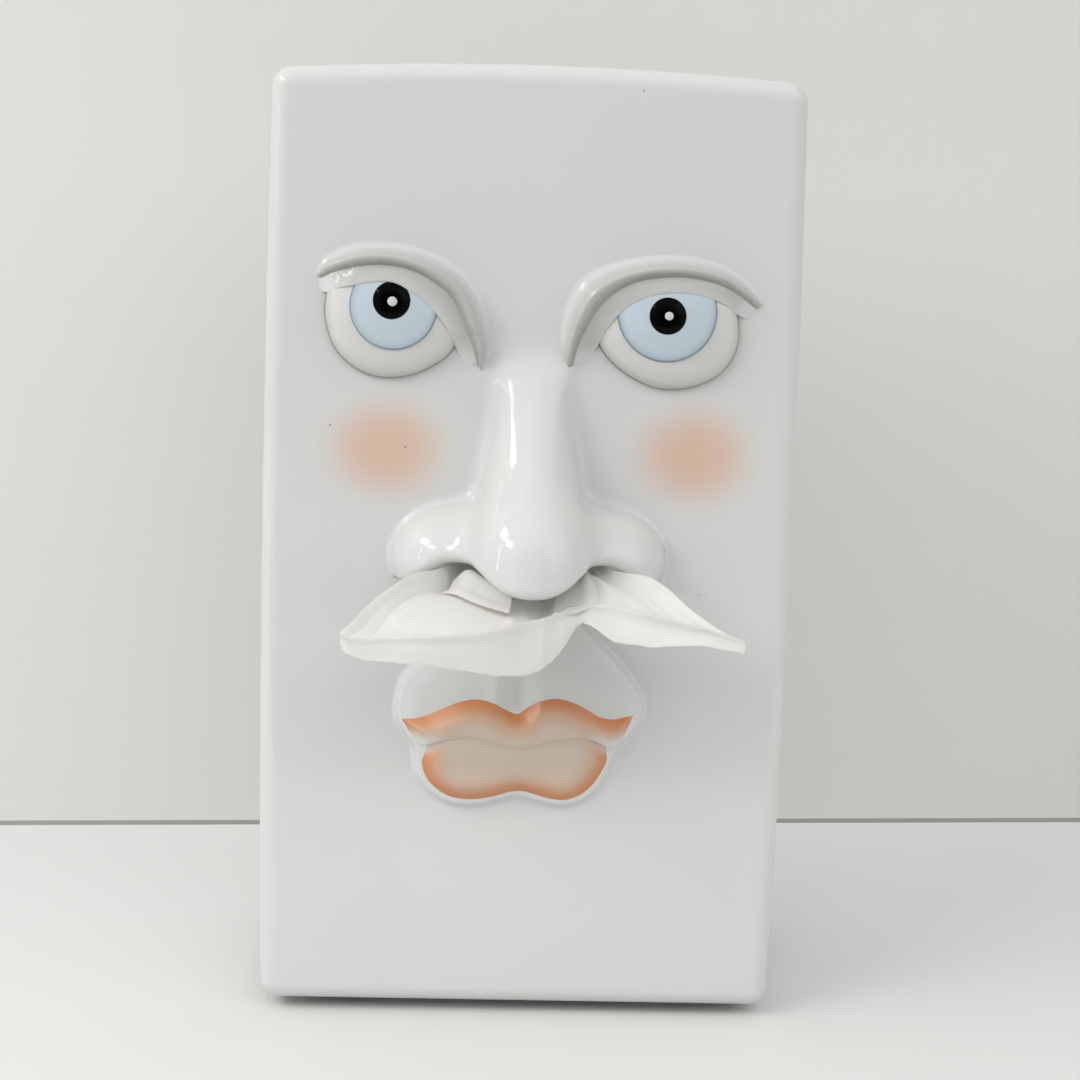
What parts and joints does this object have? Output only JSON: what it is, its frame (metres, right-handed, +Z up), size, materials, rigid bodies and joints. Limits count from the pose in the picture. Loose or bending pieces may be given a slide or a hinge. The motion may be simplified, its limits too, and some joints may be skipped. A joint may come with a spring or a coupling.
{
  "type": "tissue box cover",
  "caption": "Glazed ceramic tissue box cover standing on its short end, with a relief face whose hollow nose hands out the tissue; open back over a sliding tissue carton.",
  "frame": {"origin": "middle of the base pad's underside, where the cover stands", "axes": "+Z up, -Y the way the face looks, +X to the right of someone looking at the face"},
  "size_m": [0.1404, 0.1441, 0.254],
  "materials": {
    "white_glaze": "glossy white glaze",
    "lip_glaze": "glossy glaze over airbrushed peach, paler towards the mouth line",
    "blue_glaze": "glossy pale blue glaze",
    "black_glaze": "glossy black glaze",
    "felt": "matt pressed felt",
    "carton_board": "smooth printed board",
    "clear_film": "clear thin film",
    "tissue_paper": "soft matt tissue"
  },
  "bodies": {
    "cover": {"cover_body": "white_glaze", "nose": "white_glaze", "philtrum_mound": "white_glaze", "upper_lip": "lip_glaze", "lower_lip": "lip_glaze", "left_brow": "white_glaze", "right_brow": "white_glaze", "left_eyelid": "white_glaze", "right_eyelid": "white_glaze", "left_eyeball": "white_glaze", "right_eyeball": "white_glaze", "left_iris": "blue_glaze", "right_iris": "blue_glaze", "left_pupil": "black_glaze", "right_pupil": "black_glaze", "left_catchlight": "white_glaze", "right_catchlight": "white_glaze", "base_pad": "felt"},
    "carton": {"carton": "carton_board", "slit_film": "clear_film", "tissue_stack": "tissue_paper"},
    "tissue": {"pulled_tissue": "tissue_paper"}
  },
  "joints": [
    {"name": "carton_slide", "type": "slide", "parent": "cover", "child": "carton", "axis": [0, 1, 0], "range_m": [0, 0.09]},
    {"name": "tissue_pull", "type": "slide", "parent": "cover", "child": "tissue", "axis": [0, -0.9397, -0.342], "range_m": [0, 0.03]}
  ]
}
